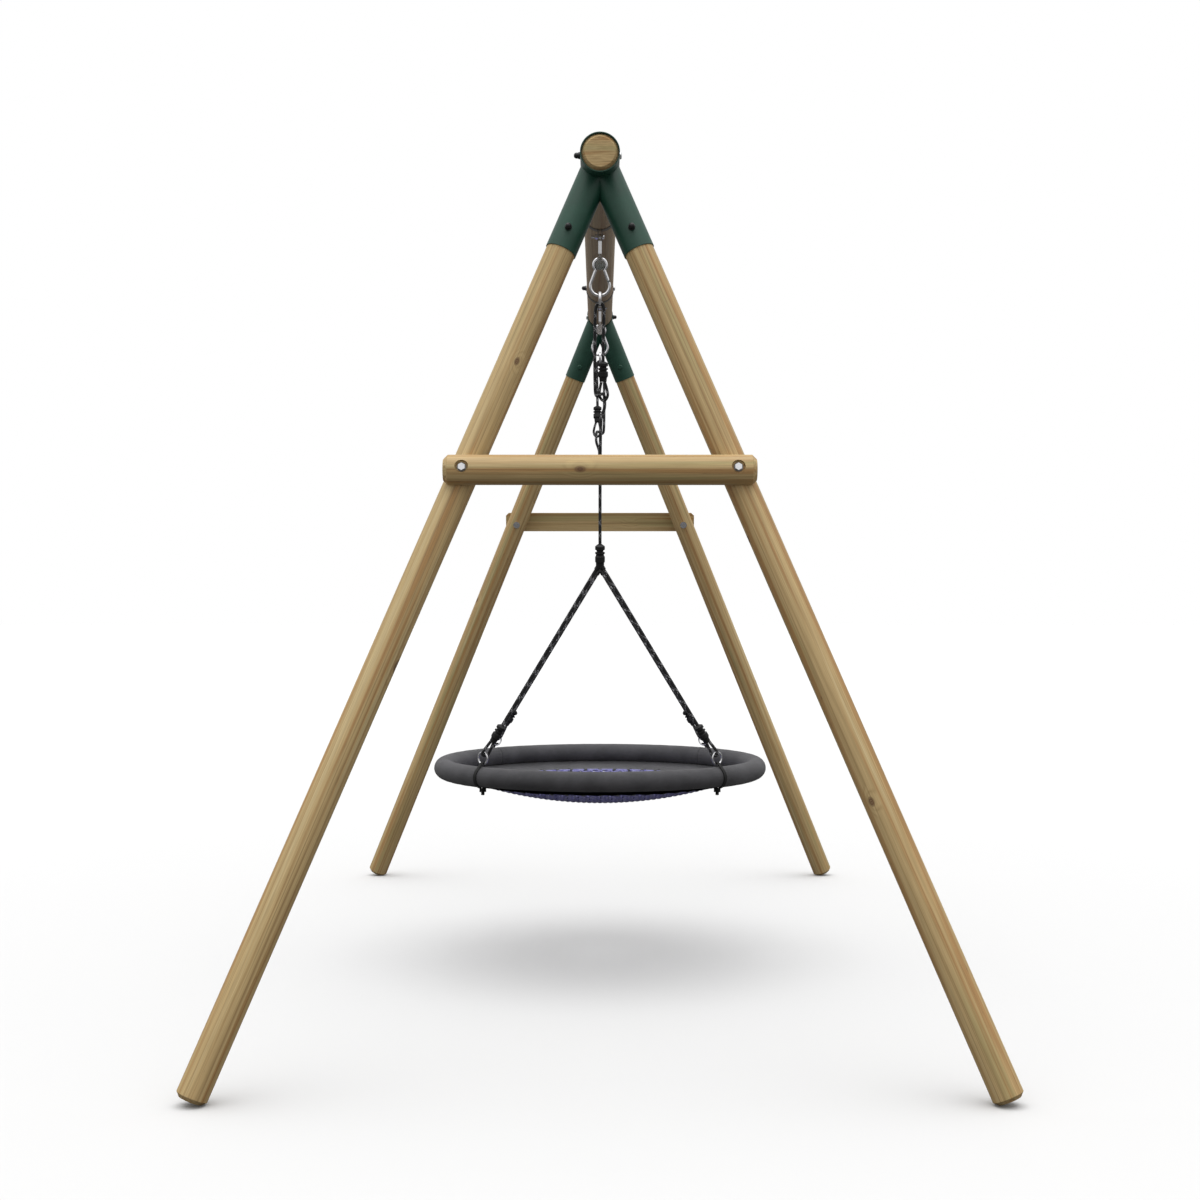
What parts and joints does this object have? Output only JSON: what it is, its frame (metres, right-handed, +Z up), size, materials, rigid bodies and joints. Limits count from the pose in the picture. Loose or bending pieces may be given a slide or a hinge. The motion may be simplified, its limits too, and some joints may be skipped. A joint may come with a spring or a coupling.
{
  "type": "swing set",
  "caption": "Free-standing wooden A-frame swing set with a round padded nest seat hung on black ropes from snap hooks under a round top beam.",
  "frame": {"origin": "on the ground under the middle of the seat and of the beam", "axes": "+Z up, +Y along the top beam from the near frame to the far one, +X to the right seen from the near end"},
  "size_m": [2.0582, 3.651, 2.4702],
  "materials": {
    "timber": "satin",
    "green_paint": "satin",
    "black_cap": "satin",
    "bright_zinc": "polished",
    "dull_zinc": "satin",
    "spring_steel": "satin",
    "rope_cover": "matte",
    "ferrule_black": "matte",
    "seat_fabric": "matte",
    "skirt_fabric": "matte",
    "net_rope": "matte",
    "foam": "matte",
    "hoop_steel": "satin",
    "strap_black": "matte"
  },
  "bodies": {
    "frame": {"cap_nuts": "black_cap", "collar_bolts": "bright_zinc", "ear_bolts": "bright_zinc", "ear_nuts": "bright_zinc", "far_bracket": "green_paint", "far_clevis_link": "bright_zinc", "far_cross_tie": "timber", "far_hanger_band": "dull_zinc", "far_left_leg": "timber", "far_right_leg": "timber", "hanger_side_bolts": "bright_zinc", "hook_bushes": "dull_zinc", "hook_pins": "bright_zinc", "leg_bolts": "green_paint", "near_bracket": "green_paint", "near_clevis_link": "bright_zinc", "near_cross_tie": "timber", "near_hanger_band": "dull_zinc", "near_left_leg": "timber", "near_right_leg": "timber", "tie_bolts": "bright_zinc", "tie_nuts": "bright_zinc", "tie_washers": "dull_zinc", "top_beam": "timber"},
    "swing": {"far_eye_rope": "rope_cover", "far_left_branch": "rope_cover", "far_left_eye": "rope_cover", "far_main_rope": "rope_cover", "far_right_branch": "rope_cover", "far_right_eye": "rope_cover", "near_eye_rope": "rope_cover", "near_left_branch": "rope_cover", "near_left_eye": "rope_cover", "near_main_rope": "rope_cover", "near_right_branch": "rope_cover", "near_right_eye": "rope_cover", "branch_ferrules": "ferrule_black", "eye_ferrules": "ferrule_black", "far_cover": "seat_fabric", "far_fork_ferrule": "ferrule_black", "far_snap_hook": "bright_zinc", "foam_sleeves": "foam", "gate_pins": "bright_zinc", "hoop_halves": "hoop_steel", "left_cover": "seat_fabric", "near_cover": "seat_fabric", "near_fork_ferrule": "ferrule_black", "near_snap_hook": "bright_zinc", "net_skirt": "skirt_fabric", "right_cover": "seat_fabric", "seat_bands": "strap_black", "seat_net": "net_rope", "seat_rings": "bright_zinc", "top_rings": "bright_zinc"},
    "near_gate_bar": {"near_gate": "bright_zinc", "near_gate_spring": "spring_steel"},
    "far_gate_bar": {"far_gate": "bright_zinc", "far_gate_spring": "spring_steel"}
  },
  "joints": [
    {"name": "swing_to_and_fro", "type": "hinge", "parent": "frame", "child": "swing", "pos_m": [0, -0.656, 2.26], "axis": [0, 1, 0], "range_deg": [-45, 45]},
    {"name": "near_gate_hinge", "type": "hinge", "parent": "swing", "child": "near_gate_bar", "pos_m": [0.02609, -0.656, 2.21005], "axis": [0, -1, 0], "range_deg": [0, 25], "stiffness_Nm_per_rad": 0.5, "springref_deg": -17.19},
    {"name": "far_gate_hinge", "type": "hinge", "parent": "swing", "child": "far_gate_bar", "pos_m": [-0.02609, 0.656, 2.21005], "axis": [0, 1, 0], "range_deg": [0, 25], "stiffness_Nm_per_rad": 0.5, "springref_deg": -17.19}
  ]
}
